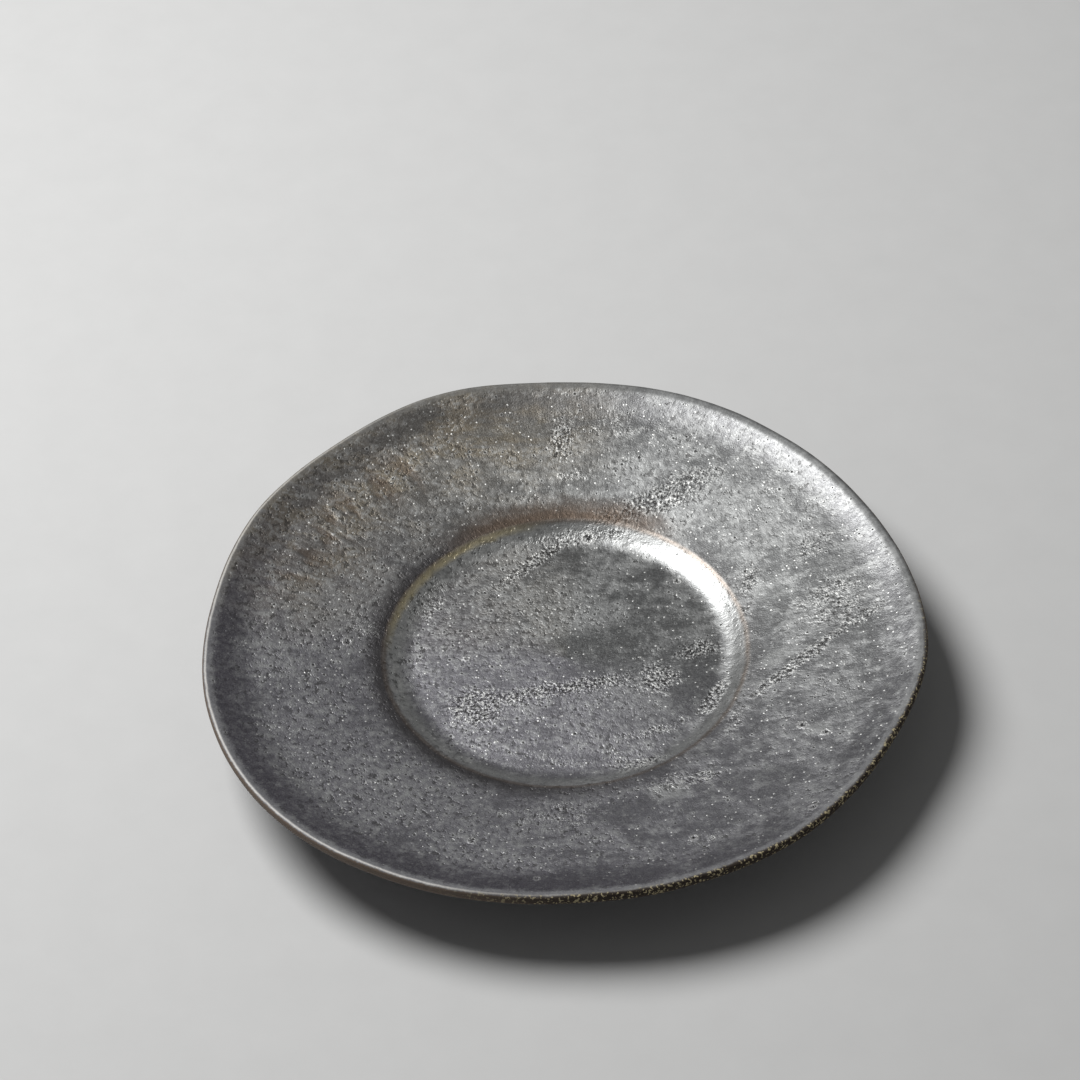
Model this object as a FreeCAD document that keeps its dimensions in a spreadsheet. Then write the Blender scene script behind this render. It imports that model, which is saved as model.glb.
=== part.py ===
import FreeCAD, Part
import math
import os

import Sketcher

# A hand-formed stoneware plate: a slab pressed to a wide, gently rising rim round a shallow
# round well, its edge cut freehand and turned up, standing on a coil of clay luted underneath.
# A thick metallic glaze covers the face, the back of the rim and the recess inside the foot;
# the coil itself is left bare, so that the plate doesn't stick to the kiln shelf.
# Origin: centre of the foot's resting face. +Z up. Millimetres.

doc = FreeCAD.newDocument("paten_plate")

sizeTable = [
    ("plate_diameter", 235.0, "mean diameter of the bare clay over the freehand edge"),
    ("edge_wander", 4.8, "most that the freehand edge strays from its mean radius"),
    ("well_diameter", 121.0, "across the well at its upper edge"),
    ("well_wall_width", 7.0, "plan width of the sloping wall of the well"),
    ("well_depth", 4.0, "from the well's edge down to its floor"),
    ("well_foot_radius", 12.0, "rounding where the wall runs into the floor"),
    ("well_edge_radius", 1.6, "rounding of the well's upper edge"),
    ("rim_rise", 8.8, "from the well's edge to where the lip turns up"),
    ("lip_width", 12.5, "plan width of the turned-up band"),
    ("lip_rise", 5.0, "rise of the turned-up band"),
    ("lip_bend_radius", 40.0, "rounding where the rim turns up into the lip"),
    ("lip_edge_radius", 1.5, "rounding of the cut clay edge, above and below"),
    ("edge_flat", 0.4, "least wall left between the two roundings of the cut edge"),
    ("clay_thickness", 3.6, "slab thickness in the floor and at the lip"),
    ("glaze_thickness", 0.5, "fired glaze"),
    ("foot_diameter", 115.0, "middle of the foot's resting face"),
    ("foot_height", 5.6, "from the table to the underside of the slab"),
    ("foot_face_width", 5.6, "width of the coil at the table, before its edges are rounded"),
    ("foot_root_width", 8.0, "width of the coil where it is luted to the slab"),
    ("foot_edge_radius", 1.2, "rounding of the foot's lower edges"),
    ("heel_width", 3.0, "flat left outside the foot before the underside rises"),
    ("heel_radius", 16.0, "rounding of the turn outside the foot"),
    ("cutting_room", 6.0, "how far the uncut slab runs past the mean edge"),
]

# The freehand edge: azimuth in degrees from +X towards +Y, and how far the edge
# stands out (+) or falls short (-) there, as a share of edge_wander.
edgeWanderAt = [
    (0, 0.0), (20, -0.65), (40, -0.75), (65, -0.5), (90, -0.4), (110, 0.15), (130, -0.1),
    (150, 0.05), (170, -0.05), (195, 0.6), (220, 1.0), (245, 0.4), (265, -0.1), (285, 0.1),
    (305, 0.4), (330, 0.1), (350, 0.35),
]


def makeSizes():
    sheet = doc.addObject("Spreadsheet::Sheet", "sizes")
    for row, (alias, value, meaning) in enumerate(sizeTable, start=1):
        sheet.set("A%d" % row, meaning)
        sheet.set("B%d" % row, str(value))
        sheet.setAlias("B%d" % row, alias)
    doc.recompute()
    return sheet


sizes = makeSizes()

# Heights and radii that several pieces share, as expressions on the sheet.
floorHeight = "sizes.foot_height + sizes.clay_thickness"
wellEdgeHeight = floorHeight + " + sizes.well_depth"
lipFootHeight = wellEdgeHeight + " + sizes.rim_rise"
uncutHeight = lipFootHeight + " + sizes.lip_rise * (1 + sizes.cutting_room / sizes.lip_width)"
wellRadius = "sizes.well_diameter / 2"
lipFootRadius = "sizes.plate_diameter / 2 - sizes.lip_width"
uncutRadius = "sizes.plate_diameter / 2 + sizes.cutting_room"
heelRadius = "(sizes.foot_diameter + sizes.foot_root_width) / 2 + sizes.heel_width"


def valueOf(expression):
    return float(sizes.evalExpression(expression.replace("sizes.", "")))


# ---- turned forms ----

def fixCorner(sketch, index, kind, expression, axis):
    """Ties one coordinate of a corner to the sheet, or lays the corner on an axis."""
    if expression == "0":
        sketch.addConstraint(Sketcher.Constraint("PointOnObject", index, 1, axis))
        return
    number = sketch.addConstraint(
        Sketcher.Constraint(kind, -1, 1, index, 1, valueOf(expression)))
    sketch.setExpression("Constraints[%d]" % number, expression)


def turnedBody(name, corners):
    """A body turned about Z from a closed outline of (radius, height) expressions."""
    body = doc.addObject("PartDesign::Body", name)
    sketch = body.newObject("Sketcher::SketchObject", name + "_section")
    plane = next(item for item in body.Origin.OriginFeatures if item.Role == "XZ_Plane")
    sketch.AttachmentSupport = [(plane, "")]
    sketch.MapMode = "FlatFace"
    places = [FreeCAD.Vector(valueOf(radius), valueOf(height), 0) for radius, height in corners]
    count = len(places)
    for index, place in enumerate(places):
        sketch.addGeometry(Part.LineSegment(place, places[(index + 1) % count]), False)
    for index, (radius, height) in enumerate(corners):
        sketch.addConstraint(
            Sketcher.Constraint("Coincident", index, 2, (index + 1) % count, 1))
        fixCorner(sketch, index, "DistanceX", radius, -2)
        fixCorner(sketch, index, "DistanceY", height, -1)
    turned = body.newObject("PartDesign::Revolution", name + "_turned")
    turned.Profile = sketch
    turned.ReferenceAxis = (sketch, ["V_Axis"])
    turned.Angle = 360.0
    doc.recompute()
    return body


def roundCorner(body, name, corner, radiusAlias):
    """Rounds the circle that one corner of the outline turned into."""
    radius, height = valueOf(corner[0]), valueOf(corner[1])
    edges = []
    for number, edge in enumerate(body.Tip.Shape.Edges, start=1):
        if not isinstance(edge.Curve, Part.Circle):
            continue
        sameRadius = math.isclose(edge.Curve.Radius, radius, abs_tol=1e-4)
        if sameRadius and math.isclose(edge.Curve.Center.z, height, abs_tol=1e-4):
            edges.append("Edge%d" % number)
    if len(edges) != 1:
        raise ValueError("%s: found %d edges to round, expected 1" % (name, len(edges)))
    base = body.Tip
    rounding = body.newObject("PartDesign::Fillet", name)
    rounding.Base = (base, edges)
    rounding.setExpression("Radius", "sizes." + radiusAlias)
    doc.recompute()


def backCorners(rise):
    """The slab's underside from the centre out, raised by an expression."""
    return [
        ("0", "sizes.foot_height" + rise),
        (heelRadius, "sizes.foot_height" + rise),
        (lipFootRadius, lipFootHeight + " - sizes.clay_thickness" + rise),
        (uncutRadius, uncutHeight + " - sizes.clay_thickness" + rise),
    ]


def faceCorners(rise):
    """The slab's face from the uncut edge in, raised by an expression."""
    return [
        (uncutRadius, uncutHeight + rise),
        (lipFootRadius, lipFootHeight + rise),
        (wellRadius, wellEdgeHeight + rise),
        (wellRadius + " - sizes.well_wall_width", floorHeight + rise),
        ("0", floorHeight + rise),
    ]


def pressedForm(name, faceRise, backRise):
    """The pressed slab before its edge is cut."""
    back, face = backCorners(backRise), faceCorners(faceRise)
    form = turnedBody(name, back + face)
    roundCorner(form, name + "_heel", back[1], "heel_radius")
    roundCorner(form, name + "_lip_bend", face[1], "lip_bend_radius")
    roundCorner(form, name + "_well_edge", face[2], "well_edge_radius")
    roundCorner(form, name + "_well_foot", face[3], "well_foot_radius")
    return form


# ---- the freehand edge ----

def freehandOutline(name, grow):
    """The cut edge seen from above, grown outwards: one smooth closed curve."""
    meanRadius = valueOf("plate_diameter / 2") + grow
    places = []
    for azimuth, share in edgeWanderAt:
        reach = meanRadius + share * valueOf("edge_wander")
        angle = math.radians(azimuth)
        places.append(FreeCAD.Vector(reach * math.cos(angle), reach * math.sin(angle), 0))
    curve = Part.BSplineCurve()
    curve.interpolate(places, PeriodicFlag=True)
    outline = doc.addObject("Part::Feature", name)
    outline.Shape = Part.Wire(curve.toShape())
    return outline


def cutForm(name, form, grow, edgeRadius):
    """A pressed form trimmed to the freehand outline, with its cut edge rounded."""
    blade = doc.addObject("Part::Extrusion", name + "_blade")
    blade.Base = freehandOutline(name + "_outline", grow)
    blade.DirMode = "Custom"
    blade.Dir = FreeCAD.Vector(0, 0, 1)
    blade.Solid = True
    blade.setExpression("LengthFwd", "sizes.plate_diameter")
    trimmed = doc.addObject("Part::Common", name + "_trimmed")
    trimmed.Base = form
    trimmed.Tool = blade
    doc.recompute()
    rounded = doc.addObject("Part::Fillet", name)
    rounded.Base = trimmed
    rounded.Edges = [  # the two edges that the blade left, which aren't circles
        (number, edgeRadius, edgeRadius)
        for number, edge in enumerate(trimmed.Shape.Edges, start=1)
        if edge.isClosed() and not isinstance(edge.Curve, Part.Circle)
    ]
    doc.recompute()
    return rounded


def combined(kind, name, base, tool):
    """One boolean of two objects: kind is Cut or Common."""
    result = doc.addObject("Part::" + kind, name)
    result.Base = base
    result.Tool = tool
    doc.recompute()
    return result


# ---- the pieces ----

# The slab's own thickness limits how far its cut edge can be rounded.
edgeRounding = min(valueOf("lip_edge_radius"), valueOf("(clay_thickness - edge_flat) / 2"))


def makeClayBody():
    form = pressedForm("pressed_slab", "", "")
    return cutForm("clay_body", form, 0.0, edgeRounding)


def makeFootRing():
    middle = "sizes.foot_diameter / 2"
    innerToe = (middle + " - sizes.foot_face_width / 2", "0")
    outerToe = (middle + " + sizes.foot_face_width / 2", "0")
    ring = turnedBody("foot_ring", [
        innerToe,
        outerToe,
        (middle + " + sizes.foot_root_width / 2", "sizes.foot_height"),
        (middle + " - sizes.foot_root_width / 2", "sizes.foot_height"),
    ])
    roundCorner(ring, "foot_inner_toe", (innerToe[0], "0"), "foot_edge_radius")
    roundCorner(ring, "foot_outer_toe", (outerToe[0], "0"), "foot_edge_radius")
    return ring


def makeGlazes(clay, footRing):
    """The glaze is what the glazed plate has more than the clay, parted where it changes side:
    along the middle of the cut edge, and at the walls of the foot."""
    form = pressedForm("pressed_glazed", " + sizes.glaze_thickness", " - sizes.glaze_thickness")
    grow = valueOf("glaze_thickness")
    glazedPlate = cutForm("glazed_plate", form, grow, edgeRounding + grow)
    skin = combined("Cut", "glaze_skin", glazedPlate, clay)
    lid = "sizes.plate_diameter"
    faceSide = turnedBody("face_side", backCorners(" + sizes.clay_thickness / 2") + [
        (uncutRadius, lid),
        ("0", lid),
    ])
    faceGlaze = combined("Common", "face_glaze", skin, faceSide)
    backSkin = combined("Cut", "back_skin", skin, faceSide)
    backGlaze = combined("Cut", "back_glaze", backSkin, footRing)
    footPlug = doc.addObject("Part::Cylinder", "foot_plug")
    footPlug.setExpression("Radius", "sizes.foot_diameter / 2")
    footPlug.setExpression("Height", "sizes.foot_height")
    undersideGlaze = combined("Cut", "underside_glaze", backGlaze, footPlug)
    footWellGlaze = combined("Common", "foot_well_glaze", backGlaze, footPlug)
    return [faceGlaze, undersideGlaze, footWellGlaze]


def checkAll(pieces):
    for item in doc.Objects:
        if "Invalid" in item.State or "Error" in item.State:
            raise RuntimeError("%s failed: %s" % (item.Name, item.State))
    for piece in pieces:
        shape = piece.Shape
        if shape.isNull() or not shape.isValid() or len(shape.Solids) != 1:
            raise RuntimeError("%s isn't one sound solid" % piece.Label)


def writePieces(pieces):
    os.makedirs("parts", exist_ok=True)
    for piece in pieces:
        piece.Shape.exportStep(os.path.join("parts", piece.Label + ".step"))
        print("%-18s %9.1f mm3" % (piece.Label, piece.Shape.Volume))


clayBody = makeClayBody()
footRing = makeFootRing()
pieces = [clayBody, footRing] + makeGlazes(clayBody, footRing)
for piece in pieces:
    piece.Label = piece.Name
    piece.Placement = FreeCAD.Placement()
doc.recompute()
checkAll(pieces)
writePieces(pieces)
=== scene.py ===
import math

import bpy
import numpy as np
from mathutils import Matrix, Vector, noise


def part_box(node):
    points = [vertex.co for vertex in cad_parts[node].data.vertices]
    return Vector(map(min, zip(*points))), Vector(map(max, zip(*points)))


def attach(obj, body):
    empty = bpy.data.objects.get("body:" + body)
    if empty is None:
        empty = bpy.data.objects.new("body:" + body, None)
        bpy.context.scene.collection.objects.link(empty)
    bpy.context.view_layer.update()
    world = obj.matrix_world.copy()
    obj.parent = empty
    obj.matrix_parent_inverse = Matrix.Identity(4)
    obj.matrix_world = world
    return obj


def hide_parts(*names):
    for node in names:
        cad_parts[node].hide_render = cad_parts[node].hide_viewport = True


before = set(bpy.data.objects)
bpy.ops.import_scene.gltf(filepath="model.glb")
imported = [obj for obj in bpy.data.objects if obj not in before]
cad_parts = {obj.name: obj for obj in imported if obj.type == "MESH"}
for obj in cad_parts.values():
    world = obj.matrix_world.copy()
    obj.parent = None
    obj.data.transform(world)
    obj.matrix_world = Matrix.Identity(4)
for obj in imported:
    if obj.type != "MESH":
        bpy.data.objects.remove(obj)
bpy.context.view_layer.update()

# A stoneware plate in a metallic glaze. Metres throughout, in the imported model's own frame.

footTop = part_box("foot_ring")[1].z  # underside of the slab
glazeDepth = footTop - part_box("foot_well_glaze")[0].z
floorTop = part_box("face_glaze")[0].z + glazeDepth  # the well's floor, glazed

slab = {
    "meanRadius": 0.1180,
    "wander": 0.0048,  # how far the cut edge strays, times the shares below
    "edge": [
        (0, 0.0), (20, -0.65), (40, -0.75), (65, -0.5), (90, -0.4), (110, 0.15), (130, -0.1),
        (150, 0.05), (170, -0.05), (195, 0.6), (220, 1.0), (245, 0.4), (265, -0.1), (285, 0.1),
        (305, 0.4), (330, 0.1), (350, 0.35),
    ],
    "thickness": 0.0046,  # glazed, at the lip
    "floorRadius": 0.0535,
    "wellRadius": 0.0605,
    "wellDepth": 0.0040,
    "rimRise": 0.0088,
    "lipFootRadius": 0.1050,
    "lipSlope": 0.40,
    "lipRound": 0.0020,
    "heelRadius": 0.0645,
    "sag": 0.00032,  # slow rise and fall of the pressed slab
    "lipWaver": 0.00042,  # of the hand-turned lip
    "waves": 0.00006,  # unevenness of the glaze
}


def smoothStep(value, low, high):
    share = np.clip((value - low) / (high - low), 0.0, 1.0)
    return share * share * (3 - 2 * share)


def softRamp(value, ease):  # 0 below, value above, eased over both sides of 0
    eased = (value + ease) ** 2 / (4 * ease)
    return np.where(value < -ease, 0.0, np.where(value > ease, value, eased))


def edgeRadius(azimuth):  # the freehand edge, as a smooth closed curve through its shares
    stops = np.radians([stop[0] for stop in slab["edge"]])
    reach = np.array([stop[1] for stop in slab["edge"]]) * slab["wander"]
    turn = 2 * math.pi
    stops = np.concatenate((stops[-2:] - turn, stops, stops[:3] + turn))
    reach = np.concatenate((reach[-2:], reach, reach[:3]))
    slope = np.gradient(reach, stops)
    azimuth = np.mod(azimuth, turn)
    spot = np.clip(np.searchsorted(stops, azimuth, side="right") - 1, 1, len(stops) - 3)
    span = stops[spot + 1] - stops[spot]
    t = (azimuth - stops[spot]) / span
    curve = (
        (2 * t**3 - 3 * t**2 + 1) * reach[spot]
        + (t**3 - 2 * t**2 + t) * span * slope[spot]
        + (3 * t**2 - 2 * t**3) * reach[spot + 1]
        + (t**3 - t**2) * span * slope[spot + 1]
    )
    return slab["meanRadius"] + curve


def noiseAt(x, y, z, size, octaves=2):  # -1 to 1, with features about this size
    places = np.stack((x, y, z), axis=-1).reshape(-1, 3) / size
    values = [noise.fractal(Vector(place), 1.0, 2.0, octaves) for place in places]
    return np.array(values).reshape(x.shape)


def faceProfile(radius):
    rimWidth = slab["lipFootRadius"] - slab["wellRadius"]
    rimSlope = slab["rimRise"] / rimWidth
    wallSlope = slab["wellDepth"] / (slab["wellRadius"] - slab["floorRadius"])
    height = floorTop + wallSlope * softRamp(radius - slab["floorRadius"], 0.0032)
    height = height + (rimSlope - wallSlope) * softRamp(radius - slab["wellRadius"], 0.0006)
    return height + (slab["lipSlope"] - rimSlope) * softRamp(radius - slab["lipFootRadius"], 0.0040)


def backProfile(radius):
    lipFoot = faceProfile(np.array(slab["lipFootRadius"] + 0.004)) - slab["lipSlope"] * 0.004
    lipFoot = float(lipFoot) - slab["thickness"]
    heelTop = footTop - glazeDepth
    backSlope = (lipFoot - heelTop) / (slab["lipFootRadius"] - slab["heelRadius"])
    height = heelTop + backSlope * softRamp(radius - slab["heelRadius"], 0.0026)
    bend = softRamp(radius - slab["lipFootRadius"], 0.0040)
    return height + (slab["lipSlope"] - backSlope) * bend


def slabSag(x, y):  # what face and back share, so that the slab keeps its thickness
    radius = np.hypot(x, y)
    slow = noiseAt(x, y, 0 * x + 0.3, 0.055)
    lip = noiseAt(x, y, 0 * x + 0.9, 0.030)
    rimShare = smoothStep(radius, 0.058, 0.085)
    lipShare = smoothStep(radius, 0.100, 0.120)
    return slow * slab["sag"] * (0.25 + 0.75 * rimShare) + lip * slab["lipWaver"] * lipShare


def glazeWaves(x, y):  # uneven glaze, thick enough to catch the light
    broad = noiseAt(x, y, 0 * x + 2.1, 0.011)
    fine = noiseAt(x, y, 0 * x + 4.7, 0.0045)
    return broad * slab["waves"] + fine * slab["waves"] * 0.4


def lipDrop(depth, rounding):  # how far the rounded edge falls away, this far in from the wall
    inward = np.clip(1 - depth / rounding, 0.0, 1.0)
    return rounding * (1 - np.sqrt(np.clip(1 - inward**2, 0.0, 1.0)))


def stations(steps):  # ring radii, from (radius, rings to get there) pairs
    radii = [0.0]
    for end, rings in steps:
        radii += list(np.linspace(radii[-1], end, rings + 1)[1:])
    return np.array(radii)


def meshPiece(name, points, faces, material):
    mesh = bpy.data.meshes.new(name)
    mesh.from_pydata([tuple(point) for point in points], [], faces)
    mesh.validate()
    mesh.shade_smooth()
    mesh.materials.append(material)
    piece = bpy.data.objects.new(name, mesh)
    bpy.context.scene.collection.objects.link(piece)
    return piece


def discFaces(ringCount):  # quads of a disc whose ring k has 8k points, with one in the centre
    def pointAt(column, row):
        ring = max(abs(column), abs(row))
        if ring == 0:
            return 0
        if column == ring and row > -ring:
            step = row
        elif row == ring:
            step = 2 * ring - column
        elif column == -ring:
            step = 4 * ring - row
        else:
            step = 6 * ring + column
        return 1 + 4 * ring * (ring - 1) + step % (8 * ring)

    faces = []
    for column in range(-ringCount, ringCount):
        for row in range(-ringCount, ringCount):
            faces.append((
                pointAt(column, row), pointAt(column + 1, row),
                pointAt(column + 1, row + 1), pointAt(column, row + 1),
            ))
    return faces


def discRings(ringCount):  # ring number and azimuth of each of those points
    ring = [np.zeros(1)]
    azimuth = [np.zeros(1)]
    for number in range(1, ringCount + 1):
        ring.append(np.full(8 * number, number))
        azimuth.append(np.arange(8 * number) * (2 * math.pi / (8 * number)))
    return np.concatenate(ring).astype(int), np.concatenate(azimuth)


def bandFaces(first, second, count, flip=False):  # quads between two rings of equal count
    faces = []
    for step in range(count):
        following = (step + 1) % count
        quad = (first + step, first + following, second + following, second + step)
        faces.append(quad[::-1] if flip else quad)
    return faces


class Reading:  # one socket's value, so that the maths below reads as maths
    def __init__(self, finish, socket):
        self.finish = finish
        self.socket = socket

    def maths(self, operation, first, second):
        return self.finish.add("ShaderNodeMath", {"operation": operation}, {0: first, 1: second})

    def __add__(self, other):
        return self.maths("ADD", self, other)

    def __sub__(self, other):
        return self.maths("SUBTRACT", self, other)

    def __rsub__(self, other):
        return self.maths("SUBTRACT", other, self)

    def __mul__(self, other):
        return self.maths("MULTIPLY", self, other)

    def __truediv__(self, other):
        return self.maths("DIVIDE", self, other)

    def __pow__(self, other):
        return self.maths("POWER", self, other)

    __radd__ = __add__
    __rmul__ = __mul__


class Finish:  # one material and its node tree
    def __init__(self, name):
        self.material = bpy.data.materials.new(name)
        self.material.use_nodes = True
        self.tree = self.material.node_tree
        self.tree.nodes.clear()

    def add(self, kind, settings, sockets, out=0):
        node = self.tree.nodes.new(kind)
        for name, value in settings.items():
            setattr(node, name, value)
        for name, value in sockets.items():
            if isinstance(value, Reading):
                self.tree.links.new(value.socket, node.inputs[name])
            else:
                node.inputs[name].default_value = value
        return Reading(self, node.outputs[out]) if node.outputs else None

    def field(self, name):  # a value kept on the mesh's points
        return self.add("ShaderNodeAttribute", {"attribute_name": name}, {}, out="Fac")

    def ease(self, value, low, high):  # 0 at low, 1 at high, smooth between
        return self.add(
            "ShaderNodeMapRange", {"interpolation_type": "SMOOTHSTEP"},
            {"Value": value, "From Min": low, "From Max": high},
        )

    def peak(self, value, centre, halfWidth):  # 1 at centre, 0 past halfWidth either side
        away = self.add("ShaderNodeMath", {"operation": "ABSOLUTE"}, {0: value - centre})
        return 1 - self.ease(away, 0.0, halfWidth)

    def tint(self, share, under, over):
        return self.add(
            "ShaderNodeMix", {"data_type": "RGBA"}, {0: share, 6: under, 7: over}, out=2)

    def cloud(self, place, scale, detail=3.0, roughness=0.55, distortion=0.0):
        return self.add(
            "ShaderNodeTexNoise", {},
            {"Vector": place, "Scale": scale, "Detail": detail, "Roughness": roughness,
             "Distortion": distortion},
        )

    def cells(self, place, scale, out="Distance"):
        return self.add(
            "ShaderNodeTexVoronoi", {}, {"Vector": place, "Scale": scale}, out=out)

    def stretched(self, place, scale, turn):
        return self.add(
            "ShaderNodeMapping", {"vector_type": "POINT"},
            {"Vector": place, "Scale": scale, "Rotation": (0.0, 0.0, turn)},
        )

    def relief(self, height, distance, strength=1.0):
        return self.add("ShaderNodeBump", {}, {
            "Height": height, "Distance": distance, "Strength": strength})

    def surface(self, sockets):
        shader = self.add("ShaderNodeBsdfPrincipled", {}, sockets)
        self.add("ShaderNodeOutputMaterial", {}, {"Surface": shader})
        return self.material


silver = {
    "lean": (0.125, 0.127, 0.127, 1.0),  # where the glaze lies thin and smooth
    "body": (0.225, 0.228, 0.226, 1.0),
    "pooled": (0.370, 0.376, 0.370, 1.0),  # where it has gathered and crystallised
    "pit": (0.030, 0.028, 0.027, 1.0),
    "bead": (0.620, 0.620, 0.600, 1.0),
    "mauve": (0.215, 0.208, 0.236, 1.0),  # cast towards the near left
    "lipShadePlum": (0.120, 0.112, 0.135, 1.0),  # painted shade in a band under the upturned lip
    "shoulderShade": (0.055, 0.052, 0.054, 1.0),  # painted shade in a thin band outside the well
    "olive": (0.175, 0.145, 0.098, 1.0),  # cast towards the far left
    "umber": (0.105, 0.072, 0.048, 1.0),
    "ochre": (0.520, 0.450, 0.270, 1.0),
    # painted highlight along the lip's left side
    "creamHighlight": (0.720, 0.700, 0.650, 1.0),
    "char": (0.030, 0.021, 0.014, 1.0),
    "metallic": 0.80,
    "smooth": 0.33,  # roughness where it ran smooth
    "rough": 0.46,  # and where it is busy with hollows and crystals
    "relief": 0.00009,
}

faceMarks = {
    # where the brush left it thick: across and away in mm, length, width, turn, strength
    "strokes": [
        # in the well
        (-10, 44, 35, 6, 40, 0.85), (8, 54, 40, 5, 0, 0.7), (-45, 28, 25, 12, 55, 0.5),
        (-30, -20, 20, 17, 15, 0.9), (-5, -14, 65, 8, 8, 0.75), (30, -12, 15, 14, 0, 0.8),
        (44, 0, 15, 8, 15, 0.8), (48, -22, 20, 6, 60, 0.85), (28, -35, 35, 6, 20, 0.5),
        (5, -47, 70, 15, 0, 0.3), (23, -49, 20, 7, 15, 0.8),
        # on the rim, near side
        (35, -62, 30, 10, 5, 0.6), (-8, -75, 40, 18, 0, 0.45), (54, -37, 18, 8, 65, 0.5),
        (40, -95, 25, 6, 55, 0.35),
        # on the rim, right
        (77, -14, 45, 5, 37, 0.9), (90, 10, 26, 26, 0, 0.55), (85, 35, 20, 10, 25, 0.5),
        (63, 26, 15, 6, 75, 0.7), (97, 0, 20, 6, 20, 0.6),
        # on the rim, far side and left
        (36, 66, 50, 13, 20, 0.75), (3, 93, 16, 8, 80, 0.9), (8, 78, 15, 6, 5, 0.5),
        (17, 99, 60, 12, -10, 0.4), (-65, 15, 20, 16, 0, 0.45),
    ],
    # where it was wiped thin
    "smears": [
        (42, -15, 26, 17, 65, 1), (20, 0, 70, 30, 5, 0.6), (15, -73, 26, 16, 0, 0.7),
        (-35, 58, 45, 12, 35, 0.6), (7, 63, 60, 10, 0, 0.8), (62, -70, 45, 22, 35, 0.5),
        (5, -107, 90, 12, 0, 0.6), (67, 5, 50, 12, 80, 0.8), (-40, -5, 50, 22, 70, 0.9),
        (-10, -50, 55, 14, 0, 0.9), (-10, 100, 75, 18, 0, 0.8),
    ],
    # where it gathered
    "pools": [
        (-50, -10, 70, 40, 55, 0.2), (-50, -65, 80, 30, -35, 0.3), (30, -67, 14, 10, 0, 0.8),
        (-23, 81, 66, 7, -10, 0.5), (80, -47, 9, 6, 0, 0.9), (70, -10, 20, 8, 25, 0.6),
        (70, 20, 22, 14, 0, 0.5), (-80, 22, 30, 20, 0, 0.5), (-77, 62, 34, 8, 120, 0.5),
    ],
    # burst bubbles: across, away, radius
    "bursts": [
        (75, -44, 1.4), (82, -49, 1.2), (75, -85, 1.2), (37, -91, 1.1), (-13, -106, 1.0),
        (-33, -86, 1.2), (-72, 7, 1.4), (-33, 2, 0.9), (10, 54, 1.6), (2, 78, 1.0),
        (39, 32, 1.0), (68, 55, 0.6), (76, 52, 0.5), (85, 47, 0.6),
    ],
}

backMarks = {
    # where the brush left it thick: across and away in mm, length, width, turn, strength
    "strokes": [
        (-60, 50, 70, 14, 60, 0.6), (75, -30, 60, 12, 110, 0.7), (10, -88, 80, 14, 8, 0.6),
    ],
    # where it was wiped thin
    "smears": [
        (60, 60, 50, 20, -40, 0.8), (-70, -50, 60, 18, 140, 0.7),
    ],
    # where it gathered
    "pools": [
        (0, 92, 90, 16, 0, 0.6), (-92, 0, 16, 70, 0, 0.5),
    ],
    # burst bubbles: across, away, radius
    "bursts": [
        (70, 40, 1.4), (-80, 30, 1.3), (20, -90, 1.5), (-40, -85, 1.1),
    ],
}


def millimetres(finish):
    spot = finish.add("ShaderNodeTexCoord", {}, {}, out="Object")
    return finish.add("ShaderNodeVectorMath", {"operation": "SCALE"}, {0: spot, "Scale": 1000.0})


def markField(x, y, marks):  # 1 well inside a brush mark, 0 well outside all of them
    field = np.zeros(len(x))
    for across, away, length, width, turn, strength in marks:
        angle = math.radians(turn)
        along = (x - across) * math.cos(angle) + (y - away) * math.sin(angle)
        aside = (y - away) * math.cos(angle) - (x - across) * math.sin(angle)
        reach = np.hypot(along / (length / 2), aside / (width / 2))
        field = np.maximum(field, strength * np.clip(1.5 - reach, 0.0, 1.0))
    return field


def burstField(x, y, marks):  # nearest burst bubble: 0 at its middle, 1 at its rim
    nearest = np.full(len(x), 9.0)
    for across, away, radius in marks:
        nearest = np.minimum(nearest, np.hypot(x - across, y - away) / radius)
    return nearest


def facing(azimuth, towards, low, high):  # 0 to 1, 1 on the side of the plate towards this
    return smoothStep(np.cos(azimuth - math.radians(towards)), low, high)


def noteFields(piece, points, marks):  # the slow changes over the plate, for its finish to read
    x, y = points[:, 0] * 1000, points[:, 1] * 1000
    azimuth = np.arctan2(y, x)
    radius = np.hypot(x, y)
    farRim = 0.25 + 0.75 * smoothStep(radius, 66.0, 92.0)
    fields = {
        "edgeDepth": edgeRadius(azimuth) * 1000 - radius,
        "strokes": markField(x, y, marks["strokes"]),
        "smears": markField(x, y, marks["smears"]),
        "pools": markField(x, y, marks["pools"]),
        "bursts": burstField(x, y, marks["bursts"]),
        "west": facing(azimuth, 187, -0.7, 0.9),
        "lipShade": 0.12 + 0.62 * facing(azimuth, 222, 0.05, 0.85),
        "near": facing(azimuth, 237, -0.8, 0.9),
        "farLeft": facing(azimuth, 126, 0.55, 0.97) * farRim,
        "rust": facing(azimuth, 90, 0.72, 0.98) * smoothStep(radius, 60.0, 61.4),
        "gold": facing(azimuth, 135, 0.72, 0.97),
        "creamHighlight": facing(azimuth, 197, -0.2, 0.7),
        "burnt": facing(azimuth, 307, 0.45, 0.85),
        "runs": facing(azimuth, 139, 0.86, 0.97) * np.clip(1 - np.abs(radius - 96) / 13, 0, 1),
    }
    for name, values in fields.items():
        layer = piece.data.attributes.new(name, "FLOAT", "POINT")
        layer.data.foreach_set("value", values.astype(np.float32))


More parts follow.
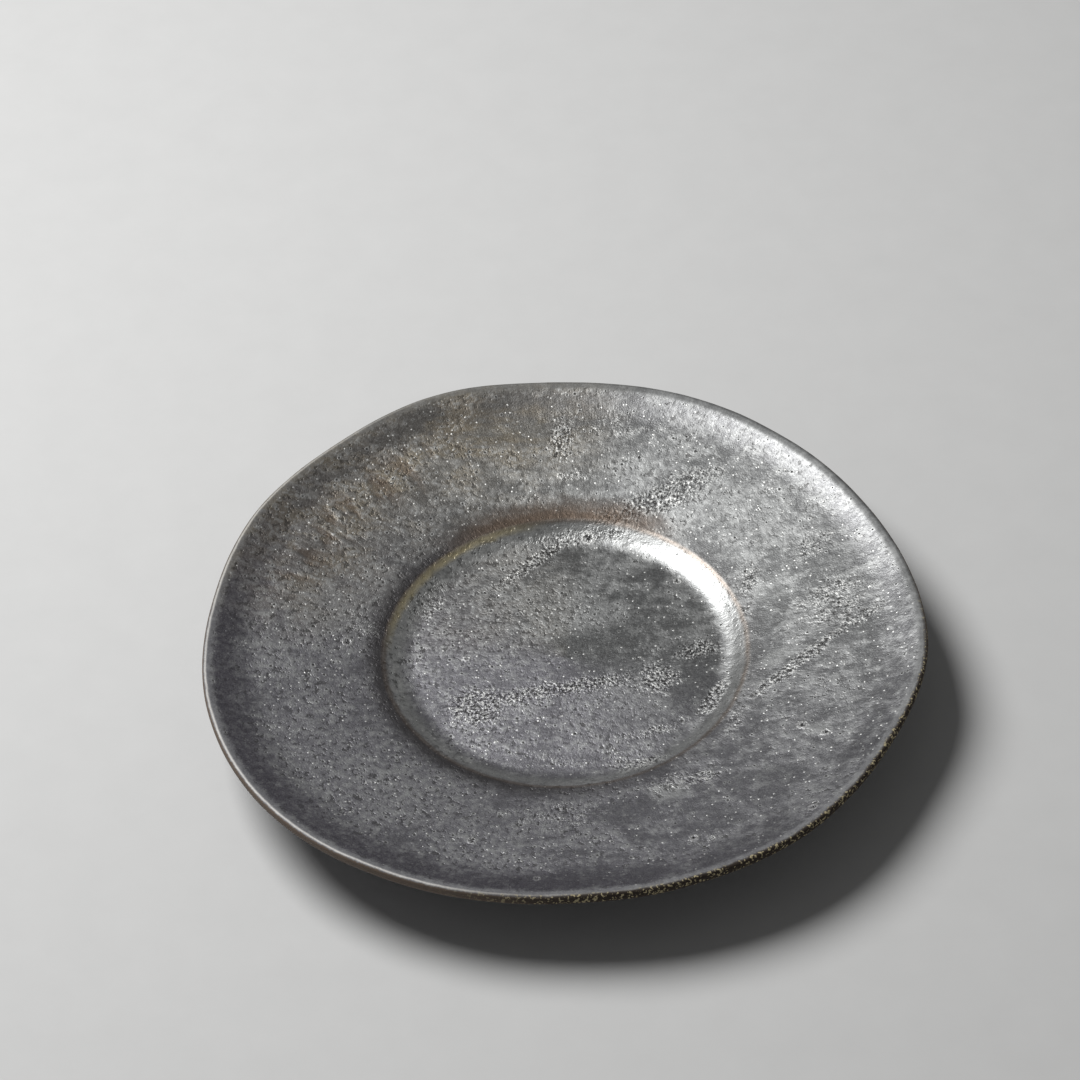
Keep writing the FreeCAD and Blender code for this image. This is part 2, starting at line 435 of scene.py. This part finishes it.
def glazeFinish(name, face):
    glaze = Finish(name)
    place = millimetres(glaze)
    field = glaze.field
    x = glaze.add("ShaderNodeSeparateXYZ", {}, {"Vector": place}, out="X")
    y = glaze.add("ShaderNodeSeparateXYZ", {}, {"Vector": place}, out="Y")
    radius = (x * x + y * y) ** 0.5
    inward = field("edgeDepth")

    # slow changes, and the marks of the brush
    patch = glaze.cloud(place, 0.055, 3.0, 0.6, 0.5)
    mottle = glaze.cloud(place, 0.24, 3.0, 0.6)
    combing = glaze.stretched(place, (0.07, 0.30, 0.2), math.radians(-33))
    combed = glaze.cloud(combing, 1.0, 3.0, 0.6)
    crawl = glaze.cloud(place, 0.52, 2.0, 0.6, 0.15)
    drift = glaze.cloud(place, 0.45, 1.0)
    stipple = glaze.cloud(place, 1.05, 1.5, 0.6, 0.2)
    grain = glaze.cloud(place, 2.1, 1.0)
    fray = (mottle - 0.5) * 2.2 + (combed - 0.5) * 1.6
    strokes = glaze.ease(field("strokes") + fray * 0.35, 0.22, 0.85)
    smears = glaze.ease(field("smears") + fray * 0.25, 0.15, 0.85)
    pools = glaze.ease(field("pools") + fray * 0.25, 0.15, 0.85)

    # calmer along the lip and down the well's wall
    west = field("west")
    wellEdge = slab["wellRadius"] * 1000
    wellWall = glaze.peak(radius + fray * 0.8, wellEdge - 3.5, 5.0) if face else None
    underLip = glaze.ease(inward, 2.6, 5.0) * (1 - glaze.ease(inward + fray * 5.0, 6.0, 20.0))
    underLip = underLip * field("lipShade")
    lipTop = 1 - glaze.ease(inward, 2.2, 3.8)
    quiet = underLip + lipTop
    if face:
        quiet = quiet + wellWall * (0.60 - west * 0.60)
    calm = glaze.ease(quiet, 0.0, 1.0)
    busy = glaze.ease(patch * 0.5 + combed * 0.3 + mottle * 0.2 + (west - 0.4) * 0.10
                      + strokes * 0.2 - smears * 0.10, 0.40, 0.60)
    busy = busy * (1 - calm * 0.8)

    # worm-like hollows, pinholes and beads
    hollows = (1 - glaze.ease(crawl + (drift - 0.5) * 0.35, 0.33, 0.46)) * (0.15 + busy * 0.85)
    ridges = glaze.ease(crawl + (drift - 0.5) * 0.2, 0.50, 0.66) * (0.25 + busy * 0.75)
    crystals = glaze.ease(stipple, 0.52, 0.62) * strokes
    gaps = (1 - glaze.ease(stipple, 0.38, 0.47)) * strokes
    dots = glaze.cells(place, 0.47)
    pick = glaze.cells(place, 0.47, out="Color")
    dots = dots / (glaze.ease(pick, 0.25, 1.0) * (0.16 + busy * 0.08) + 0.001)
    pinholes = (1 - glaze.ease(dots, 0.7, 1.1)) * (1 - calm * 0.7)
    halos = glaze.peak(dots, 1.7, 0.9) * (1 - calm)
    beads = glaze.cells(place, 0.62)
    beadPick = glaze.cells(place, 0.62, out="Color")
    beads = (1 - glaze.ease(beads, 0.14, 0.30)) * glaze.ease(beadPick, 0.66, 0.74) * (1 - calm)
    burst = field("bursts")
    craters = 1 - glaze.ease(burst + (stipple - 0.5) * 1.5, 0.2, 0.75)
    craterRims = glaze.peak(burst + (stipple - 0.5) * 1.5, 1.1, 0.6)

    # colour, from slow to fine
    depth = patch * 0.50 + mottle * 0.30 + combed * 0.20 + pools * 0.12 - smears * 0.14
    tone = glaze.tint(glaze.ease(depth, 0.42, 0.57), silver["lean"], silver["body"])
    tone = glaze.tint(field("near") * 0.55, tone, silver["mauve"])
    tone = glaze.tint(pools * 0.55, tone, silver["pooled"])
    tone = glaze.tint(glaze.ease(mottle, 0.52, 0.66) * 0.30, tone, silver["pooled"])
    brown = glaze.ease(patch * 0.6 + combed * 0.4, 0.42, 0.58)
    tone = glaze.tint(field("farLeft") * (0.30 + brown * 0.45), tone, silver["olive"])
    # painted shade under the upturned lip, strongest towards the near left
    tone = glaze.tint(underLip, tone, silver["lipShadePlum"])
    if face:
        # painted light: the well's wall is lightened all round with the pooled tint, most on the
        # left where it faces away from the lamp
        tone = glaze.tint(wellWall * (0.65 + west * 0.25), tone, silver["pooled"])
    tone = glaze.tint(hollows * 0.65, tone, silver["pit"])
    tone = glaze.tint(ridges * 0.55, tone, silver["pooled"])
    tone = glaze.tint((1 - glaze.ease(grain, 0.30, 0.45)) * 0.35, tone, silver["pit"])
    tone = glaze.tint(glaze.ease(grain, 0.56, 0.72) * 0.35, tone, silver["pooled"])
    tone = glaze.tint(gaps * 0.85, tone, silver["pit"])
    tone = glaze.tint(crystals * 0.70, tone, silver["bead"])
    tone = glaze.tint(halos * 0.55, tone, silver["pooled"])
    tone = glaze.tint(beads * 0.75, tone, silver["bead"])
    tone = glaze.tint(pinholes * 0.9, tone, silver["pit"])
    tone = glaze.tint(craterRims * 0.35, tone, silver["bead"])
    tone = glaze.tint(craters, tone, silver["pit"])
    if face:
        # the well's edge: glaze drawn thin over the corner, smooth below it; painted shade just
        # outside it and painted light on the wall below it, both strongest on the left
        past = radius - wellEdge
        # painted shade: a dark band just outside the well's edge, darkest on the left
        shoulder = glaze.peak(past + fray * 1.5, 1.0, 9.0) * glaze.ease(past, -0.3, 0.7)
        tone = glaze.tint(shoulder * (0.25 + west * 0.55), tone, silver["shoulderShade"])
        close = glaze.peak(past + fray * 0.8, 1.3, 3.6) * glaze.ease(past, -0.1, 0.5)
        tone = glaze.tint(close * west * 0.85, tone, silver["shoulderShade"])
        rust = glaze.peak(past + fray * 2.0, 1.0, 10.5) * field("rust")
        tone = glaze.tint(rust * 0.75, tone, silver["umber"])
        # painted light: paler ridges on the well's wall, towards the left
        tone = glaze.tint(ridges * wellWall * west * 0.4, tone, silver["bead"])
        line = glaze.peak(past + fray * 0.4, -0.3, 1.5)
        tone = glaze.tint(line * (0.30 + mottle * 0.5), tone, silver["umber"])
        gold = glaze.peak(past + fray * 0.5, -1.3, 1.9) * field("gold")
        tone = glaze.tint(gold * (0.45 + mottle * 0.5), tone, silver["ochre"])
        # ripples where the glaze ran off the far left of the lip
        spread = glaze.add("ShaderNodeCombineXYZ", {}, {
            "X": x / radius * 20.0, "Y": y / radius * 20.0, "Z": radius * 0.06})
        run = glaze.cloud(spread, 1.0, 1.0, 0.5)
        ripples = glaze.ease(run, 0.40, 0.60) * field("runs")
        troughs = 1 - glaze.ease(run + fray * 0.05, 0.38, 0.54)
        tone = glaze.tint(field("runs") * troughs * 0.55, tone, silver["umber"])

    # the lip: a painted highlight in cream along its left side, brown line below, clay showing at
    # the near right
    pale = glaze.peak(inward + (mottle - 0.5) * 0.8, 1.1, 0.6) * field("creamHighlight")
    tone = glaze.tint(lipTop * 0.35, tone, silver["lean"])
    tone = glaze.tint(pale * 0.4, tone, silver["creamHighlight"])
    rim = 1 - glaze.ease(inward + (stipple - 0.5) * 0.8, 0.30, 0.70)
    tone = glaze.tint(rim * 0.9, tone, silver["umber"])
    burnt = field("burnt") * (1 - glaze.ease(inward + fray * 0.5, 0.6, 1.8))
    tone = glaze.tint(burnt, tone, silver["char"])
    flecks = burnt * glaze.ease(stipple, 0.56, 0.62)
    tone = glaze.tint(flecks * 0.8, tone, silver["ochre"])

    height = (
        ridges * 0.35 - hollows * 0.9 + crystals * 0.8 - gaps * 1.2 - pinholes * 1.6 + halos * 0.2
        + beads * 0.6 + (grain - 0.5) * 0.5 * (1 - calm * 0.5) + (mottle - 0.5) * 1.2
        + craterRims * 0.8 - craters * 3.0 + burnt * stipple * 3.0
    )
    coarse = busy + strokes * 0.5 - calm * 0.4 + lipTop + 0.45
    if face:
        height = height + ripples * 1.8
        coarse = coarse - wellWall * 0.45
    span = silver["rough"] - silver["smooth"]
    rough = silver["smooth"] + span * glaze.ease(coarse, 0.0, 1.0)
    return glaze.surface({
        "Base Color": tone,
        "Metallic": silver["metallic"] - burnt * 0.7 - pinholes * 0.4 - rim * 0.5 - lipTop * 0.2,
        "Roughness": rough + pinholes * 0.2 + burnt * 0.3 + lipTop * 0.2,
        "Normal": glaze.relief(height, silver["relief"], 1.0),
    })


clay = {
    "body": (0.150, 0.098, 0.066, 1.0),
    "grog": (0.300, 0.225, 0.160, 1.0),
    "iron": (0.035, 0.024, 0.018, 1.0),
    "glazeLine": 3.1,  # height in mm above which the foot is glazed
    "roughness": 0.88,
    "glazedRoughness": 0.52,
    "relief": 0.00030,
}


def clayFinish(name, glazed):
    bare = Finish(name)
    place = millimetres(bare)
    drift = bare.cloud(place, 0.12, 3.0, 0.6)
    grit = bare.cloud(place, 1.3, 4.0, 0.65)
    tone = bare.tint(bare.ease(grit * 0.6 + drift * 0.4, 0.36, 0.64), clay["iron"], clay["body"])
    grog = 1 - bare.ease(bare.cells(place, 0.55), 0.12, 0.24)
    tone = bare.tint(grog * 0.6, tone, clay["grog"])
    iron = 1 - bare.ease(bare.cells(place, 0.31), 0.08, 0.15)
    tone = bare.tint(iron * 0.9, tone, clay["iron"])
    metallic, roughness = 0.0, clay["roughness"]
    if glazed:
        z = bare.add("ShaderNodeSeparateXYZ", {}, {"Vector": place}, out="Z")
        line = z + (drift - 0.5) * 3.0
        cover = bare.ease(
            line + (grit - 0.5) * 0.8, clay["glazeLine"] - 0.15, clay["glazeLine"] + 0.15)
        skin = bare.tint(bare.ease(grit, 0.35, 0.65), silver["lean"], silver["body"])
        skin = bare.tint(bare.peak(line, clay["glazeLine"] + 0.2, 0.7) * 0.8, skin, silver["umber"])
        tone = bare.tint(cover, tone, skin)
        metallic = cover * silver["metallic"]
        roughness = clay["roughness"] - cover * (clay["roughness"] - clay["glazedRoughness"])
    height = grit * 1.2 + grog * 0.5 - iron * 0.5 + drift
    return bare.surface({
        "Base Color": tone,
        "Metallic": metallic,
        "Roughness": roughness,
        "Normal": bare.relief(height, clay["relief"], 0.8),
    })


# rings of points from the middle out: the radius they reach, and how many get there
faceRings = [
    (0.0500, 42), (0.0580, 11), (0.0630, 14), (0.1015, 39), (0.1093, 10), (0.1160, 9),
]
edgeRings = 9  # over the rounded edge
# the few rings of each skin's hidden side
faceSkinRings = [0.1160, 0.1093, 0.1015, 0.085, 0.0630, 0.0605, 0.0580, 0.0530, 0.0500]
backSkinRings = [0.1160, 0.1093, 0.1015, 0.085, 0.068]


def ringPoints(radius, azimuth, height):
    return np.stack((radius * np.cos(azimuth), radius * np.sin(azimuth), height), axis=1)


def loftFaces(ringCount, count):  # quads of a closed band, from each ring on to the next
    faces = []
    for number in range(ringCount):
        following = (number + 1) % ringCount
        faces += bandFaces(number * count, following * count, count, flip=True)
    return faces


def followEdge(radius, azimuth):  # rings keep their distance from the cut edge near the lip
    share = smoothStep(radius, 0.070, 0.112)
    return radius + (edgeRadius(azimuth) - slab["meanRadius"]) * share


def faceHeight(x, y, azimuth):
    radius = np.hypot(x, y)
    depth = edgeRadius(azimuth) - radius
    return faceProfile(radius) + slabSag(x, y) - lipDrop(depth, slab["lipRound"])


def backHeight(x, y, azimuth):
    radius = np.hypot(x, y)
    depth = edgeRadius(azimuth) - radius
    sag = slabSag(x, y) * smoothStep(radius, slab["heelRadius"], slab["heelRadius"] + 0.012)
    return backProfile(radius) + sag + lipDrop(depth, slab["lipRound"])


def roundedSteps(count):  # distances in from the cut edge, closer together where it turns over
    turns = np.linspace(0.0, math.pi / 2, count + 1)[1:]
    return slab["lipRound"] * (1 - np.sin(turns))


def buildFace(material):
    radii = np.concatenate((stations(faceRings), slab["meanRadius"] - roundedSteps(edgeRings)))
    ringCount = len(radii)  # one more ring drops down the cut wall
    ring, azimuth = discRings(ringCount)
    radii = np.append(radii, slab["meanRadius"])
    radius = followEdge(radii[ring], azimuth)
    x, y = radius * np.cos(azimuth), radius * np.sin(azimuth)
    height = faceHeight(x, y, azimuth) + glazeWaves(x, y)
    wall = ring == ringCount
    seam = seamHeight(azimuth[wall])
    height[wall] = seam
    points = np.stack((x, y, height), axis=1)
    faces = discFaces(ringCount)

    # the hidden side of the skin, on the clay
    count = 8 * ringCount
    around = azimuth[wall]
    rims = []
    rims.append((edgeRadius(around) - glazeDepth, seam))
    for station in faceSkinRings:
        inner = followEdge(np.full(count, station), around)
        low = faceHeight(inner * np.cos(around), inner * np.sin(around), around) - glazeDepth
        rims.append((inner, low))
    first = len(points) - count
    for inner, low in rims:
        start = len(points)
        points = np.concatenate((points, ringPoints(inner, around, low)))
        faces += bandFaces(first, start, count, flip=True)
        first = start
    faces.append(tuple(range(first + count - 1, first - 1, -1)))
    piece = meshPiece("plateFace", points, faces, material)
    noteFields(piece, points, faceMarks)
    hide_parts("face_glaze")
    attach(piece, "root")


def seamHeight(azimuth):  # where face and back glaze meet, halfway up the cut wall
    reach = edgeRadius(azimuth)
    x, y = reach * np.cos(azimuth), reach * np.sin(azimuth)
    top = faceProfile(reach) - slab["lipRound"]
    low = backProfile(reach) + slab["lipRound"]
    return (top + low) / 2 + slabSag(x, y)


backRings = [(0.0660, 7), (0.1015, 30), (0.1093, 8), (0.1160, 7)]


def buildBack(material, count):
    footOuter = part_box("foot_ring")[1].x
    around = np.arange(count) * (2 * math.pi / count)
    steps = [(end - footOuter, rings) for end, rings in backRings]
    radii = footOuter - 0.0003 + stations(steps)  # from just inside the coil's flank
    radii = np.append(radii, slab["meanRadius"] - roundedSteps(edgeRings))

    def backLayer(station, lift):
        reach = followEdge(np.full(count, station), around)
        height = backHeight(reach * np.cos(around), reach * np.sin(around), around)
        return ringPoints(reach, around, height + lift)

    reach = edgeRadius(around)
    seam = seamHeight(around)
    layers = [backLayer(station, 0.0) for station in radii]
    layers.append(ringPoints(reach, around, seam))
    layers.append(ringPoints(reach - glazeDepth, around, seam))
    layers += [backLayer(station, glazeDepth) for station in backSkinRings + [radii[0]]]
    faces = loftFaces(len(layers), count)
    points = np.concatenate(layers)
    piece = meshPiece("plateBack", points, faces, material)
    noteFields(piece, points, backMarks)
    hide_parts("underside_glaze")
    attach(piece, "root")


foot = {
    "faceHalf": 0.0028,
    "rootHalf": 0.0040,
    "edge": 0.0012,
    "swell": 0.0002,  # of the coil just above its edge
    "sides": 480,
    "wobble": 0.00022,  # of the hand-rolled coil
    "wear": 0.00012,  # of the face it stands on
    # the flank, from the slab down: share of the root's width kept, and share of the height
    "flank": [(1.0, 1.0), (0.72, 0.78), (0.45, 0.52), (0.22, 0.33)],
}


def buildFoot(material):
    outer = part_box("foot_ring")[1].x
    middle = outer - foot["rootHalf"]
    profile = []
    for way in (1, -1):  # outer flank down to the face, then up the inner flank
        flank = []
        for share, level in foot["flank"]:
            half = foot["rootHalf"] * share + foot["faceHalf"] * (1 - share)
            flank.append((way * half, footTop * level))
        for step in range(7):
            turn = step / 6 * math.pi / 2
            half = foot["faceHalf"] - foot["edge"] * (1 - math.cos(turn))
            half += foot["swell"] * (step < 3)
            flank.append((way * half, foot["edge"] * (1 - math.sin(turn))))
        profile += flank if way == 1 else flank[::-1]
    count = foot["sides"]
    around = np.arange(count) * (2 * math.pi / count)
    layers = []
    for aside, height in profile:
        reach = middle + aside
        x, y = reach * np.cos(around), reach * np.sin(around)
        level = np.full(count, height)
        waver = noiseAt(x, y, level, 0.007) * foot["wobble"]
        waver = waver * (1 - (height > footTop * 0.99))
        reach = reach + waver * (1 if aside > 0 else -1)
        worn = np.abs(noiseAt(x, y, level + 0.05, 0.004)) * foot["wear"] * (height < 1e-6)
        layers.append(ringPoints(reach, around, level + worn))
    faces = loftFaces(len(layers), count)
    piece = meshPiece("footCoil", np.concatenate(layers), faces, material)
    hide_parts("foot_ring")
    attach(piece, "root")


footWell = {
    "rings": 64,
    "spiral": 0.0042,  # pitch of the turning line left by the potter's thumb
    "ridge": 0.00011,
    "waver": 0.00008,
}


def buildFootWell(material):
    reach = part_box("foot_well_glaze")[1].x
    ring, azimuth = discRings(footWell["rings"])
    radius = reach * ring / footWell["rings"]
    x, y = radius * np.cos(azimuth), radius * np.sin(azimuth)
    turns = radius / footWell["spiral"] - azimuth / (2 * math.pi)
    inner = smoothStep(radius, 0.001, 0.006) * (1 - smoothStep(radius, reach - 0.004, reach))
    ridge = footWell["ridge"] * np.cos(2 * math.pi * turns) * inner
    low = footTop - glazeDepth + ridge + noiseAt(x, y, 0 * x + 6.0, 0.012) * footWell["waver"]
    points = np.stack((x, y, low), axis=1)
    faces = [face[::-1] for face in discFaces(footWell["rings"])]
    count = 8 * footWell["rings"]
    first = len(points) - count
    top = points[first:].copy()
    top[:, 2] = footTop
    start = len(points)
    points = np.concatenate((points, top))
    faces += bandFaces(first, start, count)
    faces.append(tuple(range(start, start + count)))
    piece = meshPiece("footWellSkin", points, faces, material)
    noteFields(piece, points, backMarks)
    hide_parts("foot_well_glaze")
    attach(piece, "root")


ground = {
    "dark": (0.52, 0.52, 0.515, 1.0),
    "light": (0.56, 0.56, 0.555, 1.0),
    "half": 3.0,  # metres from its middle to each side
}


def buildFloor():
    floor = Finish("pale_floor")
    spot = floor.add("ShaderNodeTexCoord", {}, {}, out="Object")
    speck = floor.cloud(spot, 60.0, 4.0, 0.6)
    tone = floor.tint(speck, ground["dark"], ground["light"])
    material = floor.surface({"Base Color": tone, "Roughness": 0.8})
    half = ground["half"]
    corners = [(-half, -half, 0), (half, -half, 0), (half, half, 0), (-half, half, 0)]
    piece = meshPiece("floor", corners, [(0, 1, 2, 3)], material)


studio = {
    "elevation": 47.0,
    "distance": 1.45,
    "lens": 146.0,
    "aim": (-0.0063, 0.0366),  # right and up from the plate's centre, across the view
    "roll": -3.6,
    "keyFrom": (-0.46, 0.30, 0.84),
    "keyPower": 20.0,
    "keySize": 0.70,
    "keyDistance": 1.3,
    "skyTone": 0.12,
}


def aimAt(thing, target):
    direction = Vector(target) - thing.location
    thing.rotation_euler = direction.to_track_quat("-Z", "Y").to_euler()


def buildCamera():
    angle = math.radians(studio["elevation"])
    toward = Vector((0.0, -math.cos(angle), math.sin(angle)))
    up = Vector((0.0, math.sin(angle), math.cos(angle)))
    centre = Vector((0.0, 0.0, floorTop + slab["wellDepth"]))
    camera = bpy.data.objects.new("camera", bpy.data.cameras.new("camera"))
    camera.data.lens = studio["lens"]
    camera.data.sensor_width = 36.0
    camera.location = centre + toward * studio["distance"]
    right, rise = studio["aim"]
    aimAt(camera, centre + Vector((1, 0, 0)) * right + up * rise)
    camera.rotation_euler.rotate_axis("Z", math.radians(studio["roll"]))
    bpy.context.scene.collection.objects.link(camera)
    bpy.context.scene.camera = camera


def areaLamp(name, direction, distance, power, size):
    lamp = bpy.data.objects.new(name, bpy.data.lights.new(name, "AREA"))
    lamp.data.shape = "DISK"
    lamp.data.size = size
    lamp.data.energy = power
    lamp.location = Vector(direction).normalized() * distance
    aimAt(lamp, (0, 0, 0))
    bpy.context.scene.collection.objects.link(lamp)


def buildLight():
    world = bpy.data.worlds.new("studio")
    world.use_nodes = True
    world.node_tree.nodes["Background"].inputs["Color"].default_value = (1, 1, 1, 1)
    world.node_tree.nodes["Background"].inputs["Strength"].default_value = studio["skyTone"]
    bpy.context.scene.world = world
    areaLamp("keyLamp", studio["keyFrom"], studio["keyDistance"], studio["keyPower"],
             studio["keySize"])


print("finishes")
faceMaterial = glazeFinish("silver_glaze", True)
backMaterial = glazeFinish("silver_glaze_back", False)
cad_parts["clay_body"].data.materials.clear()
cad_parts["clay_body"].data.materials.append(clayFinish("dark_stoneware", False))

print("plate")
buildFace(faceMaterial)
faceEdgeCount = 8 * (sum(rings for _, rings in faceRings) + edgeRings + 1)
buildBack(backMaterial, faceEdgeCount)

print("foot")
buildFoot(clayFinish("bare_stoneware", True))
buildFootWell(backMaterial)

print("studio")
buildFloor()
buildLight()
buildCamera()
bpy.context.scene.view_settings.view_transform = "Standard"
